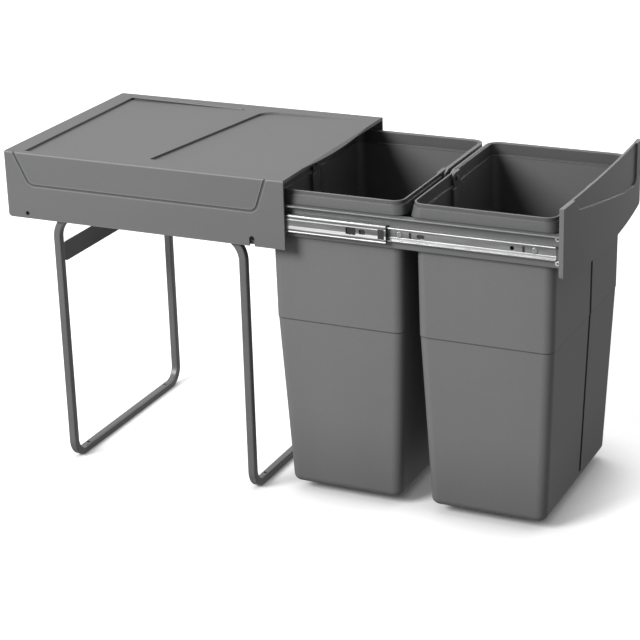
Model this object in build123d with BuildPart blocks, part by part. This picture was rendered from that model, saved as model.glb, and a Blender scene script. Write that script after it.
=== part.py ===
from build123d import *
import os

# Pull-out recycling bin for a base cupboard, modelled fully pulled out, in millimetres.
# X points out of the cupboard, towards the person who pulls. Y is across. Z is up.
# The origin is on the cupboard floor, midway between the four floor screws.

# Tube frame
screw_rows = 262.0          # between the two floor bars
screws_across = 210.0       # between the two screws of one bar
frame_inset = 5.8            # legs in from the cover's sides
tube = 10.0                 # square tube, outside
tube_wall = 1.3
tube_corner = 2.0
floor_bend = 22.0           # centre line radii
top_bend = 32.0
top_run_z = 340.0           # centre line of the runs that carry the side plates
run_gap = 8.0               # between the ends of the front and rear runs
floor_screw_hole = 5.0

# Cover
cover_behind = 66.4         # rear wall behind the rear floor bar
cover_length = 390.0
cover_width = 300.0
cover_top = 418.0
cover_height = 86.0
cover_wall = 2.4
cover_roof = 4.4            # thicker than the walls, because the two ramps sink into it
cover_corner = 4.0
cover_edge = 2.6
hem_corner = 7.5
ramp_depth = 3.0
rear_step_from_rear = 27.5
rear_step_near_edge = 8.0    # in from the cover's near and far sides
rear_step_far_edge = 17.0
mid_step_from_rear = 195.0
mid_step_far_from_rear = 229.0
mid_step_near_edge = 28.0
mid_step_far_edge = 44.0
ramp_end_from_front = 26.0
ramp_far_edge = 25.0
lip_edge = 53.0
lip_reach = 4.8
lip_slope = 32.0
lip_wall = 2.4
groove_width = 3.0          # the line pressed into each side
groove_depth = 0.9
groove_corner = 12.0
groove_low_z = 376.0
groove_rear = 15.0
groove_rear_low = 36.0
groove_front_low = 38.0
groove_front = 24.0

# Side plates and their fixings
plate_sheet = 1.2
plate_ends = 14.0           # from the cover's two ends
plate_low_z = 333.0
plate_top_z = 378.0
joggle_low_z = 345.5
joggle_rise = 3.5
rivet = 4.0
rivet_head = 7.0
rivet_head_height = 1.0
rivet_tail = 5.0
fit_gap = 0.05              # radial, round a rivet or a screw in its hole
cover_screw = 3.5
cover_screw_head = 5.2
cover_screw_head_height = 1.6
cover_screw_length = 5.0
boss_floor = 0.8
boss_radius = 4.4
screw_notch = 7.0            # open to the hem, round the two front screws
rear_screw_from_rear = 30.0
rear_screw_z = 338.4
front_screw_from_front = 44.0
front_screw_z = 341.0

# Strap behind the bins
strap = 1.6
strap_height = 27.0
strap_low_z = 235.0
strap_from_rear = 8.4
strap_end_y = -40.0
strap_bend = 5.0

# Ball slides, three members a side
travel = 340.0
slide_length = 350.0
slide_from_rear = 34.0
slide_z = 364.0
slide_face_inset = 13.8     # drawer side of the slides, in from the cover's sides
slide_depth = 10.0
outer_height = 27.0
middle_height = 22.0
inner_height = 17.0
middle_length = 314.0
flange = 1.2
web = 1.0
outer_tip = 4.2             # where each member's flanges end, from the drawer side
middle_tip = 1.6
inner_tip = 5.2
middle_web = 7.3
ball = 2.4
track_gap = 0.05
outer_balls_at = 6.3
inner_balls_at = 3.4
cage_sheet = 0.4
cage_gap = 0.15
cage_rim = 0.6
cage_hole_gap = 0.1
outer_cage_length = 150.0
outer_cage_from_rear = 15.0     # from the middle member's rear end, pulled out
inner_cage_length = 120.0
inner_cage_from_front = 12.0    # from the middle member's front end, pulled out
inner_cage_web = 6.2
outer_cage_balls = 8
inner_cage_balls = 7
stop_length = 8.0
stop_height = 12.0
stop_from_front = 2.0
stop_gap = 0.6
window_from_rear = 269.5        # punched windows of the middle member
window_length = 13.0
window_height = 9.0
small_window_from_rear = 284.0
small_window_length = 8.0
small_window_height = 6.0
window_corner = 2.0
slot_rear = 172.0               # punched slots and holes of the inner member
slot_front = 311.0
slot_length = 8.0
slot_width = 3.0
keyhole_from_rear = 185.0
keyhole_length = 10.0
keyhole_width = 5.0
hole_from_rear = 297.0
hole_radius = 2.6

# Carrier
rail_sheet = 1.5
rail_low_z = 346.0
rail_top_z = 386.3
rail_flange = 10.3
rail_behind = 28.0          # past the rear end of the inner members
rail_to_panel = 0.5
crossbar_low_z = 350.0
crossbar_height = 32.0
crossbar_inset = 1.0
crossbar_tab = 13.0
slide_rivet_rear = 158.0    # from the inner members' rear ends
slide_rivet_front = 324.0
panel_boss_length = 10.5
panel_boss_depth = 10.0
panel_screw = 3.0
panel_screw_head = 6.2
panel_screw_head_height = 2.0
panel_screw_length = 8.0
panel_screw_from_panel = 5.3
panel_screw_low_z = 352.0
panel_screw_high_z = 381.0

# Front panel
panel_gap = 1.0             # to the cover's corners when it is pushed in
panel_wall = 5.5
panel_bow = 3.8
panel_top_z = 421.0
panel_end_z = 338.0
panel_middle_z = 328.0
panel_corner = 5.0
recess_depth = 2.6

# Bins
bin_pitch = 187.0
front_bin_from_panel = 97.0
bin_wall = 2.0
bin_floor_z = 12.3
bin_foot_length = 148.0
bin_foot_inset = 17.2        # the five widths, each side, in from the slides' drawer side
bin_step_z = 236.0
bin_step = 0.5
bin_step_length = 168.0
bin_step_inset = 6.7
bin_length = 171.0          # just below the rim
bin_inset = 5.2
bin_corner = 12.0
bin_foot_round = 9.0
rim_seat_gap = 0.3
rim_length = 182.0          # at the foot of the flared rim
rim_lap = 0.8                # out over the rail's flange
rim_corner = 14.0
ledge_z = 398.5
ledge = 1.0
band_length = 175.2         # the upright band above the ledge
band_inset = 2.2
rim_top_z = 403.4
channel_width = 6.0
channel_depth = 4.0
channel_y = 14.0
channel_low_z = 24.0

# Handles
pivot_z = 396.0
pivot_pin = 5.0
pivot_gap = 0.08
pivot_wall = 5.0
pivot_boss_radius = 12.5
pocket_radius = 9.5
handle_gap = 0.3
handle_bar = 3.0
handle_height = 5.1
handle_eye = 11.0
handle_neck = 7.0
pin_head = 6.8
pin_head_height = 1.8

os.makedirs("parts", exist_ok=True)

sides = (("left", -1), ("right", 1))

cover_rear = -screw_rows / 2 - cover_behind
cover_front = cover_rear + cover_length
cover_hem = cover_top - cover_height
cover_inside = cover_width / 2 - cover_wall
rear_step_near = cover_width / 2 - rear_step_near_edge
rear_step_far = cover_width / 2 - rear_step_far_edge
mid_step_near = cover_width / 2 - mid_step_near_edge
mid_step_far = cover_width / 2 - mid_step_far_edge
ramp_far = cover_width / 2 - ramp_far_edge
lip_half_width = cover_width / 2 - lip_edge
frame_width = cover_width - 2 * frame_inset
slide_face = cover_width / 2 - slide_face_inset
panel_width = cover_width
bin_foot_width = 2 * (slide_face - bin_foot_inset)
bin_step_width = 2 * (slide_face - bin_step_inset)
bin_width = 2 * (slide_face - bin_inset)
band_width = 2 * (slide_face - band_inset)
rim_width = 2 * (slide_face + rim_lap)
leg_outside = frame_width / 2
leg_inside = leg_outside - tube
slide_back = slide_face + slide_depth
slide_rear = cover_rear + slide_from_rear
middle_rear = slide_rear + travel / 2
inner_rear = slide_rear + travel
panel_inner = cover_front + panel_gap + travel
rail_inside = slide_face - rail_sheet
rail_rear = inner_rear - rail_behind
rail_front = panel_inner - rail_to_panel
front_bin_x = panel_inner - front_bin_from_panel
rear_bin_x = front_bin_x - bin_pitch
rim_low_z = rail_top_z + rim_seat_gap


def save(piece, name):
    """Label a finished piece and write it as its own STEP file."""
    piece.label = name
    export_step(piece, f"parts/{name}.step")


def wall_plane(side, y):
    """An upright plane along the bin, at y on one side, with X and Z as its axes."""
    return Plane.XZ.offset(-side * y)


def post(side, y_from, y_to, radius, places, mode=Mode.ADD):
    """Round posts across the bin, from one distance off the middle to a greater one."""
    middle = side * (y_from + y_to) / 2
    with Locations(*[(x, middle, z) for x, z in places]):
        Cylinder(radius, y_to - y_from, rotation=(90, 0, 0), mode=mode)


# Cover: moulded in one piece, open below and in front, with two ramps sunk into its roof
ramp_plan_rear = [
    (cover_rear + rear_step_from_rear, -rear_step_near),
    (cover_rear + rear_step_from_rear, rear_step_far),
    (cover_rear + mid_step_far_from_rear, rear_step_far - 8),
    (cover_rear + mid_step_far_from_rear, mid_step_far),
    (cover_rear + mid_step_from_rear, -mid_step_near),
    (cover_rear + mid_step_from_rear, -rear_step_near),
]
ramp_front = cover_front - ramp_end_from_front


def ramp(points, deep_x, flush_x):
    """What a ramp takes out of the roof: full depth at deep_x, nothing at flush_x."""
    with BuildPart() as cut:
        with BuildSketch(Plane.XY.offset(cover_top - ramp_depth)):
            Polygon(*points, align=None)
        extrude(amount=2 * ramp_depth)
        with BuildSketch(Plane.XZ.offset(-cover_width / 2)):
            Polygon((deep_x, cover_top - ramp_depth), (flush_x, cover_top),
                    (flush_x, cover_top + ramp_depth), (deep_x - cover_wall, cover_top + ramp_depth),
                    (deep_x - cover_wall, cover_top - ramp_depth), align=None)
        extrude(amount=cover_width, mode=Mode.INTERSECT)
    return cut.part


rear_ramp = ramp(ramp_plan_rear, cover_rear + rear_step_from_rear, cover_rear + mid_step_from_rear)

with BuildPart() as front_ramp:
    step_near = Vector(cover_rear + mid_step_from_rear, -mid_step_near)
    step_far = Vector(cover_rear + mid_step_far_from_rear, mid_step_far)
    turn_end = Vector(step_far.X + 24, ramp_far)
    with BuildSketch(Plane.XY.offset(cover_top - ramp_depth)):
        with BuildLine():
            Line(step_near, step_far)
            TangentArc(step_far, turn_end, tangent=step_far - step_near)
            Line(turn_end, (ramp_front, ramp_far))
            Line((ramp_front, ramp_far), (ramp_front, -ramp_far))
            Line((ramp_front, -ramp_far), step_near)
        make_face()
    extrude(amount=2 * ramp_depth)
    with BuildSketch(Plane.XZ.offset(-cover_width / 2)):
        Polygon((step_near.X - 1, cover_top - ramp_depth), (step_far.X, cover_top - ramp_depth),
                (ramp_front, cover_top), (ramp_front, cover_top + ramp_depth),
                (step_near.X - 1, cover_top + ramp_depth), align=None)
    extrude(amount=cover_width, mode=Mode.INTERSECT)

cover_screw_places = [
    (cover_rear + rear_screw_from_rear, rear_screw_z),
    (cover_front - front_screw_from_front, front_screw_z),
]
plate_low_outer = leg_outside + plate_sheet

with BuildPart() as cover_shell:
    with BuildSketch(Plane.XZ.offset(-cover_width / 2)):
        Polygon((cover_rear, cover_hem), (cover_front, cover_hem), (cover_front, cover_top),
                (cover_rear, cover_top), align=None)
        fillet(vertices().group_by(Axis.X)[0].sort_by(Axis.Y)[0], hem_corner)
    extrude(amount=cover_width)
    with BuildSketch(Plane.XY.offset(cover_hem)):
        with Locations((cover_rear, 0)):
            Rectangle(cover_length, cover_width, align=(Align.MIN, Align.CENTER))
        fillet(vertices().group_by(Axis.X)[0], cover_corner)
    extrude(amount=cover_height, mode=Mode.INTERSECT)
    roof_edges = cover_shell.faces().sort_by(Axis.Z)[-1].edges()
    fillet(roof_edges.sort_by(Axis.X)[:-1], cover_edge)
    with Locations((cover_rear + cover_wall, 0, cover_hem)):
        Box(cover_length, 2 * cover_inside, cover_height - cover_roof,
            align=(Align.MIN, Align.CENTER, Align.MIN), mode=Mode.SUBTRACT)
    crease = Plane((cover_front, 0, cover_top), x_dir=(0, 1, 0), z_dir=(0, 0, 1))
    with BuildSketch(crease.rotated((0, lip_slope, 0))):
        with BuildLine():
            bulge = ThreePointArc((-lip_half_width, 0), (0, -lip_reach), (lip_half_width, 0))
            Line(bulge @ 1, bulge @ 0)
        make_face()
    extrude(amount=-lip_wall)
    add(rear_ramp, mode=Mode.SUBTRACT)
    add(front_ramp.part, mode=Mode.SUBTRACT)
    run_out = 1 + groove_width / (cover_top - groove_low_z)
    for name, side in sides:
        with BuildSketch(wall_plane(side, cover_width / 2)):
            with BuildLine() as pressed:
                groove_rear_foot = Vector(cover_rear + groove_rear_low, groove_low_z)
                groove_front_foot = Vector(cover_front - groove_front_low, groove_low_z)
                rear_rise = Vector(groove_rear - groove_rear_low, cover_top - groove_low_z)
                front_rise = Vector(groove_front_low - groove_front, cover_top - groove_low_z)
                FilletPolyline(groove_rear_foot + rear_rise * run_out, groove_rear_foot,
                               groove_front_foot, groove_front_foot + front_rise * run_out, radius=groove_corner)
            trace(line_width=groove_width)
        extrude(amount=groove_depth, both=True, mode=Mode.SUBTRACT)
        post(side, plate_low_outer, cover_inside + cover_wall / 2, boss_radius, cover_screw_places)
        post(side, plate_low_outer + boss_floor, cover_width / 2, cover_screw_head / 2 + 4 * fit_gap,
             cover_screw_places, Mode.SUBTRACT)
        post(side, plate_low_outer - 1, plate_low_outer + boss_floor + 1, cover_screw / 2 + fit_gap,
             cover_screw_places, Mode.SUBTRACT)
        seat = plate_low_outer + boss_floor
        with BuildSketch(wall_plane(side, (seat + cover_width / 2) / 2)):
            with Locations(cover_screw_places[-1]):
                Circle(screw_notch / 2)
                Rectangle(screw_notch, cover_height, align=(Align.CENTER, Align.MAX))
        extrude(amount=(cover_width / 2 - seat) / 2, both=True, mode=Mode.SUBTRACT)
save(cover_shell.part, "cover_shell")

with BuildPart() as cover_screws:
    for name, side in sides:
        seat = plate_low_outer + boss_floor
        post(side, seat, seat + cover_screw_head_height, cover_screw_head / 2, cover_screw_places)
        post(side, seat - cover_screw_length, seat + 0.1, cover_screw / 2, cover_screw_places)
save(cover_screws.part, "cover_screws")


# Frame: two bent tubes, each a floor bar, two legs and two top runs that turn towards each other
def leg_hoop(name, foot_x, run_end_x, far_leg_holes=()):
    half = leg_outside - tube / 2
    low = tube / 2
    with BuildPart() as hoop:
        with BuildLine() as route:
            FilletPolyline((run_end_x, -half, top_run_z), (foot_x, -half, top_run_z), (foot_x, -half, low),
                           (foot_x, half, low), (foot_x, half, top_run_z), (run_end_x, half, top_run_z),
                           radius=(top_bend, floor_bend, floor_bend, top_bend))
        start = Plane(route.line @ 0, x_dir=(0, 1, 0), z_dir=route.line % 0)
        with BuildSketch(start):
            RectangleRounded(tube, tube, tube_corner)
            bore = tube - 2 * tube_wall
            RectangleRounded(bore, bore, tube_corner / 2, mode=Mode.SUBTRACT)
        sweep(path=route.line)
        with BuildSketch(Plane.XY):
            with Locations((foot_x, 0)):
                with GridLocations(0, screws_across, 1, 2):
                    Circle(floor_screw_hole / 2)
        extrude(amount=tube, mode=Mode.SUBTRACT)
        for side_name, side in sides:
            post(side, leg_inside + tube / 2, leg_outside, rivet / 2 + fit_gap, hoop_rivet_places, Mode.SUBTRACT)
        if far_leg_holes:
            post(1, leg_inside, leg_inside + tube / 2, rivet / 2 + fit_gap, far_leg_holes, Mode.SUBTRACT)
    save(hoop.part, name)


run_length = screw_rows / 2 - run_gap / 2
hoop_rivet_places = [(turn * along * run_length, top_run_z) for turn in (-1, 1) for along in (0.2, 0.65)]
strap_rivet_places = [(-screw_rows / 2, strap_low_z + share * strap_height) for share in (0.28, 0.72)]
leg_hoop("rear_leg_hoop", -screw_rows / 2, -run_gap / 2, strap_rivet_places)
leg_hoop("front_leg_hoop", screw_rows / 2, run_gap / 2)

# Side plates: pressed steel, stepped out above the tubes to the backs of the slides
plate_low = leg_outside
plate_high = slide_back
slide_rivet_places = [(slide_rear + share * slide_length, slide_z) for share in (0.08, 0.5, 0.92)]
for side_name, side in sides:
    with BuildPart() as side_plate:
        with BuildSketch(Plane.YZ.offset(cover_rear + plate_ends)):
            step_z = joggle_low_z + joggle_rise
            Polygon((side * plate_low, plate_low_z), (side * plate_low, joggle_low_z),
                    (side * plate_high, step_z), (side * plate_high, plate_top_z),
                    (side * (plate_high + plate_sheet), plate_top_z), (side * (plate_high + plate_sheet), step_z),
                    (side * (plate_low + plate_sheet), joggle_low_z), (side * (plate_low + plate_sheet), plate_low_z),
                    align=None)
        extrude(amount=cover_length - 2 * plate_ends)
        post(side, plate_low - 1, plate_low + plate_sheet + 1, rivet / 2 + fit_gap, hoop_rivet_places, Mode.SUBTRACT)
        post(side, plate_high - 1, plate_high + plate_sheet + 1, rivet / 2 + fit_gap,
             slide_rivet_places, Mode.SUBTRACT)
        post(side, plate_low - 1, plate_low + plate_sheet + 1, cover_screw / 2 + fit_gap,
             cover_screw_places, Mode.SUBTRACT)
    save(side_plate.part, f"{side_name}_side_plate")

with BuildPart() as hoop_rivets:
    for side_name, side in sides:
        post(side, plate_low + plate_sheet, plate_low + plate_sheet + rivet_head_height, rivet_head / 2,
             hoop_rivet_places)
        post(side, leg_outside - tube_wall, plate_low + plate_sheet + 0.1, rivet / 2, hoop_rivet_places)
        post(side, leg_outside - tube_wall - rivet_head_height, leg_outside - tube_wall, rivet_tail / 2,
             hoop_rivet_places)
save(hoop_rivets.part, "hoop_rivets")

# Strap: bent flat steel, riveted to the inside of the far rear leg, across behind the bins
strap_x = cover_rear + strap_from_rear
strap_y = leg_inside - strap / 2
strap_arm_end = -screw_rows / 2 + tube / 2
with BuildPart() as rear_stop_strap:
    with BuildSketch(Plane.XY.offset(strap_low_z)):
        with BuildLine():
            FilletPolyline((strap_arm_end, strap_y), (strap_x, strap_y), (strap_x, strap_end_y), radius=strap_bend)
        trace(line_width=strap)
    extrude(amount=strap_height)
    strap_end = rear_stop_strap.edges().filter_by(Axis.X).group_by(Axis.Y)[0]
    fillet(strap_end, strap_height / 4)
    post(1, strap_y - strap, strap_y + strap, rivet / 2 + fit_gap, strap_rivet_places, Mode.SUBTRACT)
save(rear_stop_strap.part, "rear_stop_strap")

with BuildPart() as strap_rivets:
    post(1, leg_inside - strap - rivet_head_height, leg_inside - strap, rivet_head / 2, strap_rivet_places)
    post(1, leg_inside - strap - 0.1, leg_inside + tube_wall, rivet / 2, strap_rivet_places)
    post(1, leg_inside + tube_wall, leg_inside + tube_wall + rivet_head_height, rivet_tail / 2, strap_rivet_places)
save(strap_rivets.part, "strap_rivets")


# Slides: each member is a channel, and each pair of members runs on two rows of caged balls
def across(side, depth):
    """How far off the middle a place in a slide lies, from its depth behind the drawer side."""
    return side * (slide_face + depth)


def channel(side, web_from, web_to, tip, height, sheet):
    """A channel's section, with its web upright and its flanges reaching to the tip."""
    open_to_back = tip > web_to
    web_back = web_from if open_to_back else web_to
    web_front = web_to if open_to_back else web_from
    half = height / 2
    Polygon((across(side, web_back), slide_z - half), (across(side, tip), slide_z - half),
            (across(side, tip), slide_z - half + sheet), (across(side, web_front), slide_z - half + sheet),
            (across(side, web_front), slide_z + half - sheet), (across(side, tip), slide_z + half - sheet),
            (across(side, tip), slide_z + half), (across(side, web_back), slide_z + half), align=None)


def tracks(side, depth, row_z):
    """The two grooves of a ball row, above and below the slide's centre."""
    with Locations(*[(across(side, depth), slide_z + up * row_z) for up in (-1, 1)]):
        Circle(ball / 2 + track_gap, mode=Mode.SUBTRACT)


outer_row_z = (outer_height / 2 - flange + middle_height / 2) / 2
inner_row_z = (middle_height / 2 - flange + inner_height / 2) / 2
outer_cage_web = middle_web + web + cage_gap
outer_cage_rear = middle_rear + outer_cage_from_rear
inner_cage_front = middle_rear + middle_length - inner_cage_from_front
inner_cage_rear = inner_cage_front - inner_cage_length
stop_front = middle_rear + middle_length - stop_from_front
carrier_rivet_places = [(inner_rear + along, slide_z) for along in (slide_rivet_rear, slide_rivet_front)]


def ball_places(side, depth, row_z, cage_rear, cage_length, count):
    """Where the balls of one cage sit, in two rows."""
    pitch = cage_length / count
    return [(cage_rear + (turn + 0.5) * pitch, across(side, depth), slide_z + up * row_z)
            for up in (-1, 1) for turn in range(count)]


for side_name, side in sides:
    with BuildPart() as slide_outer:
        with BuildSketch(Plane.YZ.offset(slide_rear)):
            channel(side, slide_depth - web, slide_depth, outer_tip, outer_height, flange)
            tracks(side, outer_balls_at, outer_row_z)
        extrude(amount=slide_length)
        post(side, slide_back - web - 1, slide_back + 1, rivet / 2 + fit_gap, slide_rivet_places, Mode.SUBTRACT)
    save(slide_outer.part, f"{side_name}_slide_outer")

    with BuildPart() as slide_middle:
        with BuildSketch(Plane.YZ.offset(middle_rear)):
            channel(side, middle_web, middle_web + web, middle_tip, middle_height, flange)
            tracks(side, outer_balls_at, outer_row_z)
            tracks(side, inner_balls_at, inner_row_z)
        extrude(amount=middle_length)
        with BuildSketch(wall_plane(side, abs(across(side, middle_web + web / 2)))):
            with Locations((middle_rear + window_from_rear, slide_z)):
                RectangleRounded(window_length, window_height, window_corner)
            with Locations((middle_rear + small_window_from_rear, slide_z)):
                RectangleRounded(small_window_length, small_window_height, window_corner)
            with Locations((stop_front - stop_length / 2, slide_z)):
                Rectangle(stop_length, stop_height)
        extrude(amount=web, both=True, mode=Mode.SUBTRACT)
    save(slide_middle.part, f"{side_name}_slide_middle")

    with BuildPart() as end_stop:
        with Locations((stop_front, across(side, inner_tip + stop_gap), slide_z)):
            Box(stop_length, middle_web + web - inner_tip - stop_gap, stop_height,
                align=(Align.MAX, Align.MIN if side > 0 else Align.MAX, Align.CENTER))
    save(end_stop.part, f"{side_name}_end_stop")

    with BuildPart() as slide_inner:
        with BuildSketch(Plane.YZ.offset(inner_rear)):
            channel(side, 0, web, inner_tip, inner_height, flange)
            tracks(side, inner_balls_at, inner_row_z)
        extrude(amount=slide_length)
        with BuildSketch(wall_plane(side, abs(across(side, web / 2)))):
            with Locations((inner_rear + slot_rear, slide_z), (inner_rear + slot_front, slide_z)):
                SlotOverall(slot_length, slot_width, rotation=90)
            with Locations((inner_rear + keyhole_from_rear, slide_z)):
                SlotOverall(keyhole_length, keyhole_width)
            with Locations((inner_rear + hole_from_rear, slide_z)):
                Circle(hole_radius)
            with Locations(*carrier_rivet_places):
                Circle(rivet / 2 + fit_gap)
        extrude(amount=web, both=True, mode=Mode.SUBTRACT)
    save(slide_inner.part, f"{side_name}_slide_inner")

    outer_places = ball_places(side, outer_balls_at, outer_row_z, outer_cage_rear, outer_cage_length, outer_cage_balls)
    with BuildPart() as outer_cage:
        with BuildSketch(Plane.YZ.offset(outer_cage_rear)):
            channel(side, outer_cage_web, outer_cage_web + cage_sheet,
                    outer_balls_at - ball / 2 - cage_hole_gap - cage_rim, 2 * outer_row_z + cage_sheet, cage_sheet)
        extrude(amount=outer_cage_length)
        with Locations(*outer_places):
            Cylinder(ball / 2 + cage_hole_gap, 4 * cage_sheet, mode=Mode.SUBTRACT)
    save(outer_cage.part, f"{side_name}_outer_cage")

    with BuildPart() as outer_balls:
        with Locations(*outer_places):
            Sphere(ball / 2)
    save(outer_balls.part, f"{side_name}_outer_balls")

    inner_places = ball_places(side, inner_balls_at, inner_row_z, inner_cage_rear, inner_cage_length, inner_cage_balls)
    with BuildPart() as inner_cage:
        with BuildSketch(Plane.YZ.offset(inner_cage_rear)):
            channel(side, inner_cage_web, inner_cage_web + cage_sheet,
                    inner_balls_at - ball / 2 - cage_hole_gap - cage_rim, 2 * inner_row_z + cage_sheet, cage_sheet)
        extrude(amount=inner_cage_length)
        with Locations(*inner_places):
            Cylinder(ball / 2 + cage_hole_gap, 4 * cage_sheet, mode=Mode.SUBTRACT)
    save(inner_cage.part, f"{side_name}_inner_cage")

    with BuildPart() as inner_balls:
        with Locations(*inner_places):
            Sphere(ball / 2)
    save(inner_balls.part, f"{side_name}_inner_balls")

with BuildPart() as outer_slide_rivets:
    for side_name, side in sides:
        post(side, slide_back - web, slide_back + plate_sheet, rivet / 2, slide_rivet_places)
save(outer_slide_rivets.part, "outer_slide_rivets")

# Carrier: a flanged rail each side, a bar across the back, and the panel across the front
crossbar_x = rail_rear + crossbar_inset
crossbar_rivet_places = [(crossbar_x + 0.6 * crossbar_tab, crossbar_low_z + share * crossbar_height)
                         for share in (0.25, 0.75)]
panel_screw_x = panel_inner - panel_screw_from_panel
panel_screw_places = [(panel_screw_x, panel_screw_low_z), (panel_screw_x, panel_screw_high_z)]
for side_name, side in sides:
    with BuildPart() as carrier_rail:
        with BuildSketch(Plane.YZ.offset(rail_rear)):
            Polygon((side * rail_inside, rail_low_z), (side * slide_face, rail_low_z),
                    (side * slide_face, rail_top_z - rail_sheet),
                    (side * (rail_inside + rail_flange), rail_top_z - rail_sheet),
                    (side * (rail_inside + rail_flange), rail_top_z), (side * rail_inside, rail_top_z), align=None)
        extrude(amount=rail_front - rail_rear)
        post(side, rail_inside - 1, slide_face + 1, rivet / 2 + fit_gap,
             carrier_rivet_places + crossbar_rivet_places, Mode.SUBTRACT)
        post(side, rail_inside - 1, slide_face + 1, panel_screw / 2 + fit_gap, panel_screw_places, Mode.SUBTRACT)
        post(side, rail_inside - 1, slide_face + 1, hole_radius, [(inner_rear + hole_from_rear, slide_z)], Mode.SUBTRACT)
    save(carrier_rail.part, f"{side_name}_carrier_rail")

with BuildPart() as carrier_rear_crossbar:
    tab_end = crossbar_x + crossbar_tab
    with BuildSketch(Plane.XY.offset(crossbar_low_z)):
        Polygon((tab_end, -rail_inside), (crossbar_x, -rail_inside), (crossbar_x, rail_inside),
                (tab_end, rail_inside), (tab_end, rail_inside - rail_sheet),
                (crossbar_x + rail_sheet, rail_inside - rail_sheet),
                (crossbar_x + rail_sheet, rail_sheet - rail_inside), (tab_end, rail_sheet - rail_inside), align=None)
    extrude(amount=crossbar_height)
    for side_name, side in sides:
        post(side, rail_inside - rail_sheet - 1, rail_inside + 1, rivet / 2 + fit_gap,
             crossbar_rivet_places, Mode.SUBTRACT)
save(carrier_rear_crossbar.part, "carrier_rear_crossbar")

with BuildPart() as crossbar_rivets:
    for side_name, side in sides:
        tab_face = rail_inside - rail_sheet
        post(side, tab_face - rivet_head_height, tab_face, rivet_head / 2, crossbar_rivet_places)
        post(side, tab_face - 0.1, slide_face + 0.1, rivet / 2, crossbar_rivet_places)
        post(side, slide_face, slide_face + 0.8, rivet_tail / 2, crossbar_rivet_places)
save(crossbar_rivets.part, "crossbar_rivets")

with BuildPart() as slide_rivets:
    for side_name, side in sides:
        web_face = slide_face + web
        post(side, web_face, web_face + rivet_head_height, rivet_head / 2, carrier_rivet_places)
        post(side, rail_inside - 0.1, web_face + 0.1, rivet / 2, carrier_rivet_places)
        post(side, rail_inside - 0.8, rail_inside, rivet_tail / 2, carrier_rivet_places)
save(slide_rivets.part, "slide_rivets")

# Front panel: bowed in plan, with an arched lower edge and a sunk field that runs out at the top
half_panel = panel_width / 2
with BuildPart() as recess:
    with BuildSketch(Plane.XY.offset(panel_middle_z)):
        face_x = panel_inner + panel_wall - recess_depth
        with BuildLine():
            sunk = ThreePointArc((face_x, -half_panel), (face_x + panel_bow, 0), (face_x, half_panel))
            Line(sunk @ 1, (face_x + 2 * panel_wall, half_panel))
            Line((face_x + 2 * panel_wall, half_panel), (face_x + 2 * panel_wall, -half_panel))
            Line((face_x + 2 * panel_wall, -half_panel), sunk @ 0)
        make_face()
    extrude(amount=panel_top_z - panel_middle_z + panel_corner)
    with BuildSketch(Plane.YZ.offset(panel_inner)):
        with BuildLine():
            rise = panel_top_z + 2 * panel_corner
            field = FilletPolyline((-124, rise), (-101, 405.7), (75, 374), (130.6, 370.2), (132, rise),
                                   radius=(26, 160, 11))
            Line(field @ 1, field @ 0)
        make_face()
    extrude(amount=4 * panel_wall, mode=Mode.INTERSECT)

with BuildPart() as front_panel:
    with BuildSketch(Plane.XY.offset(panel_middle_z)):
        with BuildLine():
            inside = ThreePointArc((panel_inner, -half_panel), (panel_inner + panel_bow, 0),
                                   (panel_inner, half_panel))
            outer_x = panel_inner + panel_wall
            outside = ThreePointArc((outer_x, -half_panel), (outer_x + panel_bow, 0), (outer_x, half_panel))
            Line(inside @ 0, outside @ 0)
            Line(inside @ 1, outside @ 1)
        make_face()
    extrude(amount=panel_top_z - panel_middle_z)
    with BuildSketch(Plane.YZ.offset(panel_inner)):
        with BuildLine():
            hem = ThreePointArc((-half_panel, panel_end_z), (0, panel_middle_z), (half_panel, panel_end_z))
            Polyline(hem @ 1, (half_panel, panel_top_z), (-half_panel, panel_top_z), hem @ 0)
        face = make_face()
        fillet(face.vertices().group_by(Axis.Y)[0], panel_corner)
    extrude(amount=panel_wall + panel_bow, mode=Mode.INTERSECT)
    add(recess.part, mode=Mode.SUBTRACT)
    boss_x = panel_inner - panel_boss_length
    for side_name, side in sides:
        with Locations((boss_x, side * (rail_inside - 0.3), rail_low_z)):
            Box(panel_boss_length + panel_bow, panel_boss_depth, rail_top_z - rail_sheet - rail_low_z,
                align=(Align.MIN, Align.MAX if side > 0 else Align.MIN, Align.MIN))
        post(side, slide_face - panel_screw_length, slide_face, panel_screw / 2 + fit_gap,
             panel_screw_places, Mode.SUBTRACT)
save(front_panel.part, "front_panel")

with BuildPart() as panel_screws:
    for side_name, side in sides:
        post(side, slide_face, slide_face + panel_screw_head_height, panel_screw_head / 2, panel_screw_places)
        post(side, slide_face - panel_screw_length, slide_face + 0.1, panel_screw / 2, panel_screw_places)
save(panel_screws.part, "panel_screws")


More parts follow.
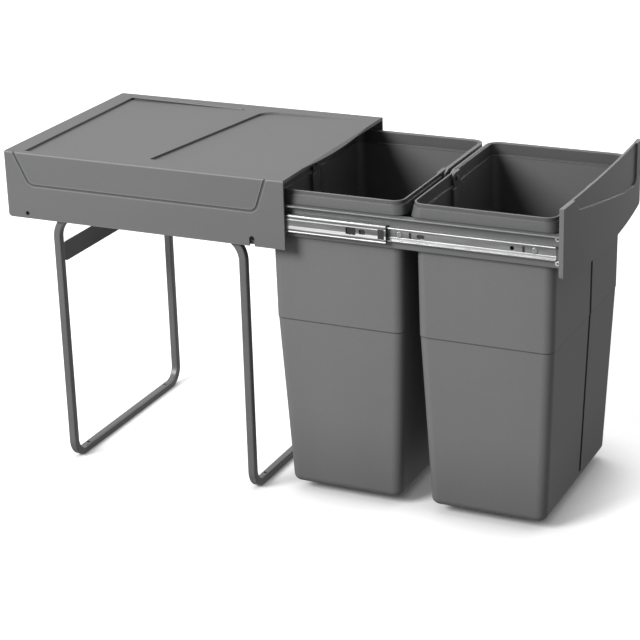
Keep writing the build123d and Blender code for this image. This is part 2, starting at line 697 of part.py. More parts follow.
# Bins: tapered tubs that hang in the carrier by a flared rim, alike when turned half round
def tub(bin_x, inset):
    """The tub below its rim, drawn in by the inset on every face."""
    foot_z = bin_floor_z + inset
    top_z = rim_low_z + inset
    corner = bin_corner - inset
    with BuildPart() as body:
        with BuildSketch(Plane.XY.offset(foot_z)):
            with Locations((bin_x, 0)):
                RectangleRounded(bin_foot_length - 2 * inset, bin_foot_width - 2 * inset, corner)
        with BuildSketch(Plane.XY.offset(bin_step_z)):
            with Locations((bin_x, 0)):
                RectangleRounded(bin_step_length - 2 * bin_step - 2 * inset,
                                 bin_step_width - 2 * bin_step - 2 * inset, corner)
        loft()
        fillet(body.faces().sort_by(Axis.Z)[0].edges(), bin_foot_round - inset)
        with BuildSketch(Plane.XY.offset(bin_step_z)):
            with Locations((bin_x, 0)):
                RectangleRounded(bin_step_length - 2 * inset, bin_step_width - 2 * inset, corner)
        with BuildSketch(Plane.XY.offset(top_z)):
            with Locations((bin_x, 0)):
                RectangleRounded(bin_length - 2 * inset, bin_width - 2 * inset, corner)
        loft()
    return body.part


def lift_out_bin(name, bin_x):
    hollow = tub(bin_x, bin_wall)
    foot_half = bin_foot_length / 2
    step_half = bin_step_length / 2
    neck_half = bin_length / 2
    with BuildPart() as bin_shell:
        add(tub(bin_x, 0))
        with BuildSketch(Plane.XY.offset(rim_low_z)):
            with Locations((bin_x, 0)):
                RectangleRounded(rim_length, rim_width, rim_corner)
        with BuildSketch(Plane.XY.offset(ledge_z)):
            with Locations((bin_x, 0)):
                RectangleRounded(band_length + 2 * ledge, band_width + 2 * ledge, rim_corner)
        loft()
        with BuildSketch(Plane.XY.offset(ledge_z)):
            with Locations((bin_x, 0)):
                RectangleRounded(band_length, band_width, rim_corner)
        extrude(amount=rim_top_z - ledge_z)
        add(hollow, mode=Mode.SUBTRACT)
        with BuildSketch(Plane.XY.offset(rim_low_z + bin_wall)):
            with Locations((bin_x, 0)):
                RectangleRounded(band_length - 2 * bin_wall, band_width - 2 * bin_wall, rim_corner - bin_wall)
        extrude(amount=rim_top_z - rim_low_z, mode=Mode.SUBTRACT)
        for turn in (-1, 1):
            inner_wall = turn * (band_length / 2 - pivot_wall)
            with BuildSketch(Plane.YZ.offset(bin_x + inner_wall)):
                with Locations((0, pivot_z)):
                    Circle(pivot_boss_radius)
                with Locations((0, (rim_low_z + rim_top_z) / 2)):
                    Rectangle(4 * pivot_boss_radius, rim_top_z - rim_low_z, mode=Mode.INTERSECT)
            extrude(amount=turn * pivot_wall)
            with BuildSketch(Plane.YZ.offset(bin_x + turn * band_length / 2)):
                with Locations((0, pivot_z)):
                    Circle(pocket_radius)
            extrude(amount=turn * rim_length, mode=Mode.SUBTRACT)
            with BuildSketch(Plane.YZ.offset(bin_x + turn * band_length / 2)):
                with Locations((0, pivot_z)):
                    Circle(pivot_pin / 2 + pivot_gap)
            extrude(amount=-turn * 2 * pivot_wall, mode=Mode.SUBTRACT)
            slope = [(foot_half, channel_low_z), (step_half, bin_step_z), (neck_half, rim_low_z)]
            ridge_in = [(bin_x + turn * (x - channel_depth - bin_wall), z) for x, z in slope]
            ridge_out = [(bin_x + turn * (x - bin_wall / 2), z) for x, z in reversed(slope)]
            with BuildSketch(wall_plane(turn, channel_y)):
                Polygon(*ridge_in, *ridge_out, align=None)
            extrude(amount=channel_width / 2 + bin_wall, both=True)
            cut_in = [(bin_x + turn * (x - channel_depth), z) for x, z in slope]
            cut_out = [(bin_x + turn * (x + channel_depth), z) for x, z in reversed(slope)]
            with BuildSketch(wall_plane(turn, channel_y)):
                Polygon(*cut_in, *cut_out, align=None)
            extrude(amount=channel_width / 2, both=True, mode=Mode.SUBTRACT)
    save(bin_shell.part, name)


def bin_handle(name, bin_x):
    """A bail with its pivot studs, folded down on the far half of the rim."""
    inner_half = band_length / 2 + handle_gap
    bar_low = ledge_z + handle_gap
    with BuildPart() as bail:
        with BuildSketch(Plane.XY.offset(bar_low)):
            with Locations((bin_x, 0)):
                RectangleRounded(2 * (inner_half + handle_bar), band_width + 2 * (handle_gap + handle_bar),
                                 rim_corner + handle_gap + handle_bar)
                RectangleRounded(2 * inner_half, band_width + 2 * handle_gap, rim_corner + handle_gap,
                                 mode=Mode.SUBTRACT)
            with Locations((bin_x, handle_neck)):
                Rectangle(rim_length * 2, rim_width, align=(Align.CENTER, Align.MIN), mode=Mode.INTERSECT)
        extrude(amount=handle_height)
        for turn in (-1, 1):
            with BuildSketch(Plane.YZ.offset(bin_x + turn * inner_half)):
                with Locations((0, pivot_z)):
                    Circle(handle_eye / 2)
                with Locations((handle_neck + 0.5, bar_low + handle_height / 2)):
                    Rectangle(1, handle_height)
                make_hull()
            extrude(amount=turn * handle_bar)
            with BuildSketch(Plane.YZ.offset(bin_x + turn * inner_half)):
                with Locations((0, pivot_z)):
                    Circle(pivot_pin / 2)
            extrude(amount=-turn * (pivot_wall + 2 * handle_gap + pin_head_height))
            with BuildSketch(Plane.YZ.offset(bin_x + turn * (inner_half - pivot_wall - 2 * handle_gap))):
                with Locations((0, pivot_z)):
                    Circle(pin_head / 2)
            extrude(amount=-turn * pin_head_height)
    save(bail.part, name)


lift_out_bin("rear_bin", rear_bin_x)
lift_out_bin("front_bin", front_bin_x)
bin_handle("rear_handle", rear_bin_x)
bin_handle("front_handle", front_bin_x)
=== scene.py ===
import math

import bmesh
import bpy
from mathutils import Matrix, Vector


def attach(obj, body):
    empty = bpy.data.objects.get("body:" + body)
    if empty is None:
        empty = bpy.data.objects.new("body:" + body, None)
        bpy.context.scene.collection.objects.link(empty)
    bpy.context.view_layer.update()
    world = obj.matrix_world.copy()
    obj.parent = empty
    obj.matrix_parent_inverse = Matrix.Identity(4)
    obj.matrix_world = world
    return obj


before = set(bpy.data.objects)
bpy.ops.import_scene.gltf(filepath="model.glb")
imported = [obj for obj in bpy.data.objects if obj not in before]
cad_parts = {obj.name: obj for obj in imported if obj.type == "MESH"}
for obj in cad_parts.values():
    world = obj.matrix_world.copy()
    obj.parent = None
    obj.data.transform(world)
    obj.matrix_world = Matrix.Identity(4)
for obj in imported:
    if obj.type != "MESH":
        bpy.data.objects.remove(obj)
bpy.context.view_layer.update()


# Leg hoops: two square steel tubes, each bent into a floor bar, two legs and two runs under the
# cover, powder coated in a satin grey that is lighter at its corners, part rubbed paint and part
# painted highlight, and scuffed near the cupboard floor.
class Wire:
    """One output in a finish's tree. Arithmetic on it adds the Math node that does it."""

    def __init__(self, finish, socket):
        self.finish = finish
        self.socket = socket

    def join(self, operation, first, second):
        kinds = {w.socket.type for w in (first, second) if isinstance(w, Wire)}
        if "RGBA" in kinds:
            return self.finish.node("Mix", {"data_type": "RGBA", "blend_type": operation},
                                    {0: 1.0, 6: first, 7: second}, 2)
        if "VECTOR" in kinds:
            full = [(w, w, w) if isinstance(w, (int, float)) else w for w in (first, second)]
            return self.finish.node("VectorMath", {"operation": operation}, {0: full[0], 1: full[1]})
        return self.finish.node("Math", {"operation": operation}, {0: first, 1: second})

    def __add__(self, other):
        return self.join("ADD", self, other)

    def __radd__(self, other):
        return self.join("ADD", other, self)

    def __sub__(self, other):
        return self.join("SUBTRACT", self, other)

    def __rsub__(self, other):
        return self.join("SUBTRACT", other, self)

    def __mul__(self, other):
        return self.join("MULTIPLY", self, other)

    def __rmul__(self, other):
        return self.join("MULTIPLY", other, self)

    def __truediv__(self, other):
        return self.join("DIVIDE", self, other)

    def __rtruediv__(self, other):
        return self.join("DIVIDE", other, self)

    def __pow__(self, other):
        return self.join("POWER", self, other)

    def __rpow__(self, other):
        return self.join("POWER", other, self)

    def __gt__(self, other):
        return self.join("GREATER_THAN", self, other)

    def __lt__(self, other):
        return self.join("LESS_THAN", self, other)

    def __neg__(self):
        return self * -1

    def __abs__(self):
        return self.join("ABSOLUTE", self, 0)

    def lesser(self, other):
        return self.join("MINIMUM", self, other)

    def greater(self, other):
        return self.join("MAXIMUM", self, other)

    def within_one(self):
        """The value, held between 0 and 1."""
        return self.finish.node("Clamp", {}, {"Value": self})

    def beside(self, output):
        """Another output of the node that this one comes from."""
        return Wire(self.finish, self.socket.node.outputs[output])


class Finish:
    """A surface finish: a material, or the studio's air, whose tree is built node by node."""

    def __init__(self, name, kind=bpy.data.materials):
        self.owner = kind.new(name)
        self.owner.use_nodes = True
        self.tree = self.owner.node_tree
        self.tree.nodes.clear()
        self.place = self.node("TexCoord", {}, {}, 3)
        self.x, self.y, self.z = self.along_axes(self.place)

    def node(self, kind, settings, sockets, output=0):
        made = self.tree.nodes.new("ShaderNode" + kind)
        for key, value in settings.items():
            if key == "stops":
                ramp = made.color_ramp
                while len(ramp.elements) < len(value):
                    ramp.elements.new(0.5)
                for element, (at, level) in zip(ramp.elements, value):
                    element.position = at
                    element.color = (level, level, level, 1)
            else:
                setattr(made, key, value)
        for key, value in sockets.items():
            if isinstance(value, Wire):
                self.tree.links.new(value.socket, made.inputs[key])
            else:
                wanted = made.inputs[key]
                if wanted.type == "RGBA" and isinstance(value, (int, float)):
                    value = (value, value, value, 1)
                wanted.default_value = value
        return Wire(self, made.outputs[output]) if made.outputs else None

    def along_axes(self, vector):
        """A vector's three parts."""
        across = self.node("SeparateXYZ", {}, {0: vector})
        return across, across.beside(1), across.beside(2)

    def facing(self):
        """The way the surface faces, before its corners are softened."""
        return self.node("NewGeometry", {}, {}, 1)

    def noise(self, scale, detail=2.0, stretch=(1, 1, 1), rough=0.5):
        return self.node("TexNoise", {}, {"Vector": self.place * stretch, "Scale": scale,
                                          "Detail": detail, "Roughness": rough})

    def ramp(self, share, *stops):
        return self.node("ValToRGB", {"stops": stops}, {0: share})

    def between(self, share, dark, light):
        """A colour that runs from dark to light with the share."""
        return self.node("Mix", {"data_type": "RGBA"}, {0: share, 6: (*dark, 1), 7: (*light, 1)}, 2)

    def soft_edges(self, radius):
        """The normal, with every corner of the mesh rounded off by this radius."""
        return self.node("Bevel", {"samples": 6}, {"Radius": radius})

    # Colour lightened by this mask is partly rubbed or worn finish and partly painted highlight.
    def edge_rub_and_highlight(self, rounded):
        """0 on the flats and up to 1 where the corner is rounded off."""
        straight = self.node("VectorMath", {"operation": "DOT_PRODUCT"}, {0: rounded, 1: self.facing()}, 1)
        return ((1 - straight) * 3.2).within_one()

    def turned(self):
        """0 where the surface faces squarely along X, Y or Z, and up to 1 on its rounded corners."""
        across, along, upright = self.along_axes(abs(self.facing()))
        return ((1 - across.greater(along).greater(upright)) * 4.0 - 0.08).within_one()

    def bumps(self, height, strength, distance, normal=None):
        sockets = {"Height": height, "Strength": strength, "Distance": distance}
        if normal:
            sockets["Normal"] = normal
        return self.node("Bump", {}, sockets)

    def surface(self, **sockets):
        named = {key.replace("_", " "): value for key, value in sockets.items()}
        self.show(self.node("BsdfPrincipled", {}, named))
        return self.owner

    def show(self, shader, end="OutputMaterial"):
        self.node(end, {}, {"Surface": shader})


def dress(material, *nodes):
    for name in nodes:
        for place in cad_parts[name].material_slots:
            place.material = material


scuffed_up_to = 0.05
tube_dark, tube_light = (0.075, 0.076, 0.078), (0.27, 0.273, 0.278)
tube_grey = Finish("tube_satin_paint")
rounded = tube_grey.soft_edges(0.0009)
rub_and_highlight = tube_grey.edge_rub_and_highlight(rounded)
orange_peel = tube_grey.noise(1500, 2)
blotch = tube_grey.noise(26, 3)
scuffs = tube_grey.noise(70, 6, (1, 1, 0.18), 0.7)
low_down = (1 - tube_grey.z / scuffed_up_to).within_one()
worn = (scuffs > 0.63) * low_down * 0.5
# Painted highlight: the rounded corners are lighter, together with rubbed paint; the scuffs near the floor
# are worn paint.
tube_paint = tube_grey.surface(
    Base_Color=tube_grey.between(0.40 + blotch * 0.2 + rub_and_highlight * 0.4 + worn, tube_dark, tube_light),
    Metallic=0.25,
    Roughness=0.34 + blotch * 0.14 + worn * 0.3,
    Normal=tube_grey.bumps(orange_peel, 0.12, 0.0002, rounded))
dress(tube_paint, "front_leg_hoop", "rear_leg_hoop")


# Side plates and the strap behind the bins: pressed sheet steel in the same paint, toned down as
# painted shade, thin over the sheared edges, which are lighter, part uncoated steel and part painted
# highlight. Their rivets are left bright, zinc plated.
def painted_sheet(name, dark, light):
    coat = Finish(name)
    corner = coat.soft_edges(0.0005)
    bare_and_highlight = coat.edge_rub_and_highlight(corner)
    peel = coat.noise(1100, 3)
    drift = coat.noise(18, 3)
    # The sheared edges are painted lighter, part uncoated steel and part painted highlight.
    return coat.surface(
        Base_Color=coat.between(0.3 + drift * 0.3 + peel * 0.1 + bare_and_highlight * 0.4, dark, light),
        Metallic=0.1,
        Roughness=0.36 + drift * 0.12 + peel * 0.06,
        Normal=coat.bumps(peel, 0.15, 0.0002, corner))


# The plates and strap are toned down from the tubes' paint as painted shade.
plate_paint_shaded = painted_sheet("plate_paint_shaded", (0.055, 0.056, 0.058), (0.17, 0.172, 0.176))
dress(plate_paint_shaded, "left_side_plate", "right_side_plate", "rear_stop_strap")


def zinc(name, shade, streaks, roughness, edge=0.0005):
    plated = Finish(name)
    corner = plated.soft_edges(edge)
    wear_and_highlight = plated.edge_rub_and_highlight(corner)
    rolled = plated.noise(90, 5, streaks, 0.65)
    cloud = plated.noise(38, 4, (1, 1, 1), 0.6)
    grain = plated.noise(2600, 2)
    dark = tuple(shade * 0.72 * tint for tint in (0.99, 1.0, 1.02))
    light = (min(shade * 1.18, 0.95),) * 3
    # Rounded edges painted lighter, part worn plating and part painted highlight.
    return plated.surface(
        Base_Color=plated.between(cloud * 0.55 + rolled * 0.45 + wear_and_highlight * 0.35, dark, light),
        Metallic=1.0,
        Roughness=roughness + rolled * 0.16 + grain * 0.05,
        Normal=plated.bumps(rolled * 0.6 + grain * 0.4, 0.18, 0.00012, corner))


rivet_zinc = zinc("rivet_zinc", 0.6, (1, 1, 1), 0.24)
dress(rivet_zinc, "hoop_rivets", "strap_rivets")


# Cover: one polypropylene moulding with spark-eroded grain, two ramps sunk into its roof and a
# line pressed into each side. Its outer corners are smooth, shine a little more than the flats and
# are painted lighter as a highlight; each side line gets painted highlights along both its edges and
# painted shade inside, and the bottom edge a painted highlight.
class Moulding(Finish):
    """A grained plastic, and the wires that a piece's own marks are added to."""

    def __init__(self, name, dark, light, roughness, grain=0.30, edge=0.0008, streaks=(1, 1, 1), sheen=0.8):
        super().__init__(name)
        self.dark, self.light = dark, light
        self.roughness, self.grain = roughness, grain
        self.corner = self.soft_edges(edge)
        # Rounded corners and edges painted lighter, part worn moulding and part painted highlight and sheen.
        self.wear_and_highlight = self.edge_rub_and_highlight(self.corner) * 0.6 + self.turned() * sheen
        self.cells = self.node("TexVoronoi", {"feature": "SMOOTH_F1"},
                               {"Vector": self.place, "Scale": 1250.0, "Smoothness": 0.6})
        self.fine = self.noise(3200, 2)
        self.cloud = self.noise(11, 4, streaks, 0.55)
        self.tone = 0.36 + self.cloud * 0.22 + (self.cells - 0.35) * 0.30 + self.fine * 0.10

    def finished(self, extra_tone=0.0, extra_roughness=0.0, shadow=None):
        colour = self.between(self.tone + self.wear_and_highlight * 0.55 + extra_tone, self.dark, self.light)
        if shadow:
            colour = colour * (1 - shadow)
        height = self.cells * 0.7 + self.fine * 0.3
        return self.surface(
            Base_Color=colour,
            Roughness=self.roughness + self.cloud * 0.08 - self.wear_and_highlight * 0.12 + extra_roughness,
            Normal=self.bumps(height, self.grain, 0.00016, self.corner))


def box_of(name):
    """The lowest and highest corner of a CAD piece, in metres."""
    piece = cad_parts[name]
    corners = [piece.matrix_world @ Vector(corner) for corner in piece.bound_box]
    return (Vector([min(corner[axis] for corner in corners) for axis in range(3)]),
            Vector([max(corner[axis] for corner in corners) for axis in range(3)]))


def run_round(points, radius):
    """The line that lies this far inside a bent run of points, corner for corner."""
    lines = []
    for start, end in zip(points, points[1:]):
        length = math.dist(start, end)
        inward = (-(end[1] - start[1]) / length, (end[0] - start[0]) / length)
        lines.append(((start[0] + inward[0] * radius, start[1] + inward[1] * radius),
                      (end[0] - start[0], end[1] - start[1])))
    inside = [lines[0][0]]
    for (at, way), (to, next_way) in zip(lines, lines[1:]):
        cross = way[0] * next_way[1] - way[1] * next_way[0]
        share = ((to[0] - at[0]) * next_way[1] - (to[1] - at[1]) * next_way[0]) / cross
        inside.append((at[0] + way[0] * share, at[1] + way[1] * share))
    at, way = lines[-1]
    inside.append((at[0] + way[0], at[1] + way[1]))
    return inside


def distance(across, up):
    return (across * across + up * up) ** 0.5


grey_dark, grey_light = (0.092, 0.093, 0.095), (0.214, 0.215, 0.218)
cover_low, cover_high = box_of("cover_shell")
line_floor = cover_high.z - 0.042
line_radius = 0.012
line_half = 0.0014
lip_off, lip_width = 0.0022, 0.0007
hem_highlight_height = 0.0018
line_run = [(0.015, cover_high.z), (0.036, line_floor), (0.352, line_floor), (0.366, cover_high.z)]
line_middle = run_round([(cover_low.x + along, height) for along, height in line_run], line_radius)

cover = Moulding("cover_plastic", grey_dark, grey_light, 0.50, streaks=(0.4, 1, 1))
nearest = beyond = None
for (x0, z0), (x1, z1) in zip(line_middle, line_middle[1:]):
    dx, dz = x1 - x0, z1 - z0
    past_x, past_z = cover.x - x0, cover.z - z0
    share = ((past_x * dx + past_z * dz) / (dx * dx + dz * dz)).within_one()
    gap = distance(past_x - share * dx, past_z - share * dz)
    outward = (past_x * dz - past_z * dx) / math.hypot(dx, dz)
    nearest = nearest.lesser(gap) if nearest else gap
    beyond = beyond.greater(outward) if beyond else outward
off_line = abs(nearest - line_radius)
lip = (off_line - lip_off) / lip_width
on_side = abs(cover.y) > cover_high.y - 0.0006
down_to_groove = abs(cover.y) > cover_high.y - 0.0015
# Painted highlights along both edges of the pressed line, and painted shade inside it.
lip_highlights = math.e ** -(lip * lip) * on_side * (beyond > 0)
pressed_line_shade = (off_line < line_half) * down_to_groove * (beyond > 0)
# Painted highlight along the bottom edge.
hem_highlight = (1 - (cover.z - (cover_low.z - 0.0002)) / hem_highlight_height).within_one()
dress(cover.finished(lip_highlights * 0.6 + hem_highlight * 0.3 - pressed_line_shade * 0.6, lip_highlights * -0.14), "cover_shell")

# The cover screws are painted near black: blackened steel that also stands in for the shade in their deep
# holes.
black_steel_and_hole_shade = Finish("cover_screw_black")
pits = black_steel_and_hole_shade.noise(900, 4)
dress(black_steel_and_hole_shade.surface(
    Base_Color=black_steel_and_hole_shade.between(pits, (0.006, 0.006, 0.007), (0.035, 0.035, 0.037)),
    Metallic=0.6,
    Roughness=0.22 + pits * 0.2,
    Normal=black_steel_and_hole_shade.bumps(pits, 0.3, 0.0002, black_steel_and_hole_shade.soft_edges(0.0004))), "cover_screws")


# Roof bead: a rib moulded on the cover along the far side of its rear ramp. It is low, with a
# rounded back and rounded ends, in the same grained plastic as the roof it stands on.
def bead(name, start, end, width, height, foot_z):
    way = Vector(end) - Vector(start)
    turn = math.atan2(way.y, way.x)
    end_steps = 12
    mesh = bmesh.new()
    rings = []
    for share, up in ((1.0, -0.1), (1.0, 0.25), (0.82, 0.66), (0.5, 0.92), (0.16, 1.0)):
        reach = width / 2 * share
        ring = []
        for centre, first in ((end, -90), (start, 90)):
            for step in range(end_steps + 1):
                angle = turn + math.radians(first + step * 180 / end_steps)
                ring.append(mesh.verts.new((centre[0] + reach * math.cos(angle),
                                            centre[1] + reach * math.sin(angle), foot_z + up * height)))
        rings.append(ring)
    for lower, upper in zip(rings, rings[1:]):
        for i in range(len(lower)):
            j = (i + 1) % len(lower)
            mesh.faces.new((lower[i], lower[j], upper[j], upper[i]))
    mesh.faces.new(rings[-1])
    mesh.faces.new(tuple(reversed(rings[0])))
    data = bpy.data.meshes.new(name)
    mesh.to_mesh(data)
    mesh.free()
    data.shade_smooth()
    piece = bpy.data.objects.new(name, data)
    bpy.context.scene.collection.objects.link(piece)
    return piece


bead_start, bead_end = (-0.168, 0.1316), (0.0013, 0.1237)
bead_width, bead_height = 0.0048, 0.0015
roof_bead = bead("roof_bead", bead_start, bead_end, bead_width, bead_height, cover_high.z)
roof_bead.data.materials.append(Moulding("bead_plastic", grey_dark, grey_light, 0.46).finished())
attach(roof_bead, "cabinet")


# Ball slides: each side has three rolled channels, zinc plated, with the balls held in thin
# pressed cages. The inner member shows its web from outside, the middle one its punched windows.
middle_low, middle_high = box_of("left_slide_middle")
inner_low, inner_high = box_of("left_slide_inner")
rivet_low, rivet_high = box_of("slide_rivets")
slide_z = (middle_low.z + middle_high.z) / 2
middle_half = (middle_high.z - middle_low.z) / 2 + 0.0002
inner_half = (inner_high.z - inner_low.z) / 2
rivet_radius = 0.0035
rivet_places = (rivet_low.x + rivet_radius, rivet_high.x - rivet_radius)
ring_inside, ring_outside = 0.0033, 0.0045
both = ("left", "right")


def rolled_channel(name, half, rolled, tall, rivets=()):
    """Plated channel whose face is rolled into runs: (millimetres above its middle, height) pairs."""
    steel = Finish(name)
    corner = steel.soft_edges(0.0004)
    wear_and_highlight = steel.edge_rub_and_highlight(corner)
    streaks = steel.noise(150, 6, (0.03, 1, 1), 0.75)
    cloud = steel.noise(34, 4, (0.3, 1, 1), 0.6)
    lowest, highest = slide_z - half, slide_z + half
    share = steel.node("MapRange", {}, {"Value": steel.z, "From Min": lowest, "From Max": highest})
    stops = [((at * 0.001 + half) / (2 * half), high / tall) for at, high in rolled]
    shaped = steel.bumps(steel.ramp(share, *stops), 1.0, tall * 0.001, corner)
    # Painted shade: a dark ring round each rivet head. Rounded edges are painted lighter, part worn plating
    # and part painted highlight.
    marks = 0.0
    for rivet_x in rivets:
        reach = distance(steel.x - rivet_x, steel.z - slide_z)
        marks = marks + (reach < ring_outside) * (reach > ring_inside)
    return steel.surface(
        Base_Color=steel.between((streaks - 0.5) * 1.9 + cloud * 0.7 + wear_and_highlight * 0.3 - marks * 0.9,
                                 (0.26, 0.262, 0.265), (0.72, 0.72, 0.72)),
        Metallic=0.92,
        Roughness=0.26 + streaks * 0.2,
        Normal=steel.bumps(streaks, 0.14, 0.0001, shaped))


middle_runs = [(-11.0, 0.9), (-9.9, 1.4), (-8.6, 1.0), (-6.8, 1.7), (-6.2, 1.7), (-2.2, 0.8), (-1.6, 0.8),
               (4.0, 1.0), (4.6, 1.5), (6.3, 1.1), (8.2, 1.6), (9.1, 1.6), (11.0, 1.1)]
inner_runs = [(-8.4, 1.0), (-7.0, 1.2), (-4.6, 0.8), (-3.6, 0.5),
              (4.0, 0.7), (5.6, 0.8), (7.0, 1.4), (8.4, 1.0)]
dress(rolled_channel("middle_channel", middle_half, middle_runs, 2.0),
      *(f"{side}_slide_middle" for side in both))
dress(rolled_channel("inner_channel", inner_half, inner_runs, 1.5, rivet_places),
      *(f"{side}_slide_{member}" for side in both for member in ("inner", "outer")))
along_x = (0.05, 1, 1)
# The cages get a near-black zinc, painted shade for the dark seen through the middle members' windows.
dress(zinc("cage_zinc", 0.07, along_x, 0.42, 0.0002),
      *(f"{side}_{row}_cage" for side in both for row in ("outer", "inner")))
dress(rivet_zinc, "outer_slide_rivets", "slide_rivets", "crossbar_rivets")

ball_polish = Finish("ball_polish")
scratch = ball_polish.noise(1800, 3)
dress(ball_polish.surface(
    Base_Color=ball_polish.between(scratch, (0.60, 0.60, 0.61), (0.74, 0.74, 0.75)),
    Metallic=1.0,
    Roughness=0.08 + scratch * 0.1), *(f"{side}_{row}_balls" for side in both for row in ("outer", "inner")))

stop_black, stop_grey = (0.02, 0.02, 0.021), (0.06, 0.06, 0.062)
stop_plastic = Moulding("stop_plastic", stop_black, stop_grey, 0.36, grain=0.12, edge=0.0004)
dress(stop_plastic.finished(), "left_end_stop", "right_end_stop")


# Carrier: two folded rails that the bins' rims sit on and a bar across behind them, painted
# sheet steel with a painted highlight along the top of its folds, where the rims slide over it,
# and painted shade on the rails' faces behind the inner slides.
rail_low, rail_high = box_of("right_carrier_rail")
rail_dark, rail_light = (0.045, 0.046, 0.048), (0.33, 0.333, 0.338)
rail_coat = Finish("rail_paint")
rail_corner = rail_coat.soft_edges(0.0006)
rail_bare_and_highlight = rail_coat.edge_rub_and_highlight(rail_corner)
rail_peel = rail_coat.noise(1100, 3)
rail_drift = rail_coat.noise(24, 3, (0.2, 1, 1))
out_from_middle = abs(rail_coat.y)
# Painted highlight along the folded edge.
folded_edge_highlight = out_from_middle > rail_high.y - 0.0007
on_web = out_from_middle > rail_low.y + 0.0011
# Painted shade on the rail's face behind the inner slide, seen through its slots.
shade_behind_slide = (abs(rail_coat.z - slide_z) < inner_half - 0.0002) * on_web
shade_behind_slide = shade_behind_slide * (rail_coat.x > inner_low.x + 0.0014) * (rail_coat.x < inner_high.x - 0.0016)
rail_tone = 0.28 + rail_drift * 0.3 + rail_peel * 0.1 + rail_bare_and_highlight * 0.45 + folded_edge_highlight * 0.6
dress(rail_coat.surface(
    Base_Color=rail_coat.between(rail_tone - shade_behind_slide * 0.8, rail_dark, rail_light),
    Metallic=0.15,
    Roughness=0.36 + rail_drift * 0.12 - folded_edge_highlight * 0.12,
    Normal=rail_coat.bumps(rail_peel, 0.15, 0.0002, rail_corner)), "left_carrier_rail", "right_carrier_rail")
dress(painted_sheet("crossbar_paint", (0.055, 0.056, 0.058), (0.19, 0.192, 0.196)), "carrier_rear_crossbar")


# Front panel: a bowed moulding in the cover's plastic, screwed to the rails through two blocks,
# with a sunk field on its outer face that the cupboard door's brackets are set against.
# The panel's plastic is painted lighter than the cover's, as painted light on its outer face, which the
# lamps barely reach.
panel_dark_brightened, panel_light_brightened = (0.115, 0.116, 0.118), (0.275, 0.276, 0.279)
panel = Moulding("panel_plastic", panel_dark_brightened, panel_light_brightened, 0.48, sheen=1.0)
# Painted highlight on the faces that turn upward.
upward = panel.along_axes(panel.facing())[2]
top_edge_highlight = ((upward - 0.25) * 2.2).within_one()
dress(panel.finished(top_edge_highlight * 0.5, top_edge_highlight * -0.1), "front_panel")

screw_low, screw_high = box_of("panel_screws")
head = (screw_high.x - screw_low.x) / 2
socket_share = 0.36
screw_steel = Finish("panel_screw_zinc")
off_lower = abs(screw_steel.z - (screw_low.z + head))
off_upper = abs(screw_steel.z - (screw_high.z - head))
reach = distance(screw_steel.x - (screw_low.x + head), off_lower.lesser(off_upper)) / head
spin = screw_steel.noise(700, 3)
# The drive socket is painted dark as shade, and the heads' near-white tone is partly plating and partly
# painted highlight.
socket = reach < socket_share
crown = (1 - reach * reach) * (1 - socket) - socket * 0.6
dress(screw_steel.surface(
    Base_Color=screw_steel.between(spin * 0.3 + 0.8 - socket * 1.1, (0.05, 0.05, 0.052), (0.95, 0.95, 0.95)),
    Metallic=0.55,
    Roughness=0.24 + spin * 0.12,
    Normal=screw_steel.bumps(crown, 0.5, 0.0012, screw_steel.soft_edges(0.0004))), "panel_screws")


# Bins: tapered polypropylene tubs drawn off a polished core, so they are smoother than the cover,
# with faint streaks up the walls. A step runs round at mid height where the mould changes taper.
# Little light reaches their insides or the narrow gap between them, and painted shade deepens
# these, the step, the side channel and the band under the rim.
bin_low, bin_high = box_of("front_bin")
step_z = bin_low.z + 0.2237
channel_y, channel_half = 0.014, 0.004
channel_foot, channel_top = bin_low.z + 0.0122, bin_high.z - 0.0174
rim_foot, rim_top = bin_high.z - 0.0166, bin_high.z - 0.0006
bin_dark, bin_light = (0.116, 0.117, 0.119), (0.248, 0.249, 0.252)
tub = Moulding("bin_plastic", bin_dark, bin_light, 0.42, grain=0.16, edge=0.0012,
               streaks=(1, 1, 0.12), sheen=0.2)
below_step = tub.z < step_z
# Painted shade along the step, in the side channel and on the band under the rim.
step_line_shade = abs(tub.z - (step_z + 0.0002)) < 0.0009
channel_shade_mask = (abs(tub.y - channel_y) < channel_half) * (tub.z < channel_top) * (tub.z > channel_foot)
rim_band_shade = (tub.z > rim_foot) * (tub.z < rim_top)
# Painted shade: the colour deepens where ambient occlusion finds the insides and the gap crowded.
occlusion_shade = 1 - tub.node("AmbientOcclusion", {"samples": 8}, {"Distance": 0.12}, 1)
painted_shade = step_line_shade * 0.7 + channel_shade_mask * 2.0 + rim_band_shade * 0.45
dress(tub.finished(below_step * 0.02 - painted_shade, below_step * 0.05 + channel_shade_mask * 0.4, occlusion_shade * 0.6),
      "rear_bin", "front_bin")


# Handles: round-edged bails that snap into the rims and fold flat on their far half, moulded in
# the bins' plastic, with rounded edges lighter and smoother, part worn by hands and part painted highlight.
bail = Moulding("handle_plastic", (0.115, 0.116, 0.118), (0.25, 0.251, 0.254), 0.38, grain=0.14)
dress(bail.finished(), "rear_handle", "front_handle")


# Studio: a pale floor that keeps the soft shadows and glows, its glow weaker near the object and
# dimmed round what stands on it as a painted contact shadow, a wide lamp above and to the left, two
# weak ones behind, a white surround that shines almost only in reflections, and the camera at the
# photograph's angle.
floor_radius = 9
floor_mesh = bpy.data.meshes.new("floor")
rim = [(floor_radius * math.cos(math.radians(turn)), floor_radius * math.sin(math.radians(turn)), 0)
       for turn in range(0, 360, 5)]
floor_mesh.from_pydata(rim, [], [range(len(rim))])
floor = bpy.data.objects.new("floor", floor_mesh)
bpy.context.scene.collection.objects.link(floor)

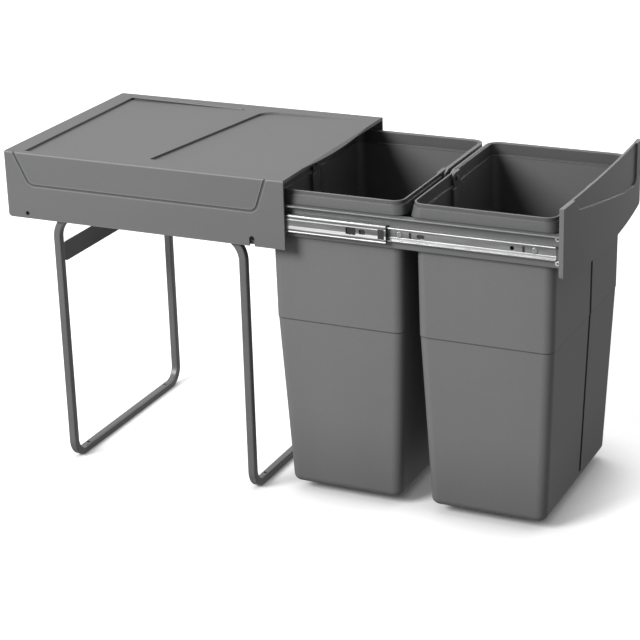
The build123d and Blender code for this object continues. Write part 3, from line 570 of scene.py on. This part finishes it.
object_x = 0.17
shadow_reach = 0.45
paper = Finish("floor_paper")
mottle = paper.noise(2.0, 2)
pale = paper.node("BsdfDiffuse", {}, {"Color": paper.between(mottle, (0.90,) * 3, (0.94,) * 3)})
dim = paper.node("BsdfDiffuse", {}, {"Color": paper.between(mottle, (0.50,) * 3, (0.54,) * 3)})
# The floor's glow is painted: weaker near the object, and dimmed by ambient occlusion into a painted contact
# shadow.
lift = ((distance(paper.x - object_x, paper.y) - shadow_reach) / (2 * shadow_reach)).within_one()
near_open = paper.node("AmbientOcclusion", {"samples": 16}, {"Distance": 0.075}, 1)
glow_and_contact_shade = (0.72 + lift * 0.28) * near_open ** 1.6
glow = paper.node("Emission", {}, {"Color": paper.between(glow_and_contact_shade, (0,) * 3, (1,) * 3)})
sheen = paper.node("Emission", {}, {"Color": paper.between(mottle, (0.30,) * 3, (0.38,) * 3)})
seen = paper.node("LightPath", {}, {})
mirrored = seen.beside(3)
unseen = paper.node("MixShader", {}, {0: mirrored, 1: dim, 2: sheen})
bright = paper.node("AddShader", {}, {0: pale, 1: glow})
paper.show(paper.node("MixShader", {}, {0: seen, 1: unseen, 2: bright}))
floor_mesh.materials.append(paper.owner)

air = Finish("studio_air", bpy.data.worlds)
bpy.context.scene.world = air.owner
camera_ray = air.node("LightPath", {}, {})
glossy_ray = camera_ray.beside(3)
strength = 0.05 + camera_ray.greater(glossy_ray) * 0.95
air.show(air.node("Background", {}, {"Color": (1, 1, 1, 1), "Strength": strength}), "OutputWorld")


def lamp(name, at, aim, size, power):
    light = bpy.data.lights.new(name, "AREA")
    light.shape = "DISK"
    light.size = size
    light.energy = power
    holder = bpy.data.objects.new(name, light)
    holder.location = at
    holder.rotation_euler = (Vector(aim) - Vector(at)).to_track_quat("-Z", "Y").to_euler()
    bpy.context.scene.collection.objects.link(holder)


lamp("key", (-1.15, -2.4, 1.9), (0.2, 0, 0.2), 1.5, 100)
lamp("overhead", (-0.3, 1.0, 2.3), (0.1, 0, 0.3), 1.6, 15)
lamp("back_fill", (1.0, 3.0, 0.5), (0.1, 0, 0.25), 1.4, 24)

azimuth, elevation, roll = (math.radians(angle) for angle in (25.355, 20.992, -1.698))
aim = Vector((0.1647, 0, 0.1852))
away = 2.6177
back = Vector((math.sin(azimuth) * math.cos(elevation),
               -math.cos(azimuth) * math.cos(elevation),
               math.sin(elevation)))
level = Vector((math.cos(azimuth), math.sin(azimuth), 0))
upright = back.cross(level)
right = level * math.cos(roll) + upright * math.sin(roll)
up = upright * math.cos(roll) - level * math.sin(roll)
eye = aim + back * away
camera_data = bpy.data.cameras.new("camera")
camera_data.lens = 114.6
camera_data.sensor_width = 36
camera = bpy.data.objects.new("camera", camera_data)
camera.matrix_world = Matrix((
    (right.x, up.x, back.x, eye.x),
    (right.y, up.y, back.y, eye.y),
    (right.z, up.z, back.z, eye.z),
    (0, 0, 0, 1)))
bpy.context.scene.collection.objects.link(camera)
bpy.context.scene.camera = camera
bpy.context.scene.view_settings.view_transform = "Standard"
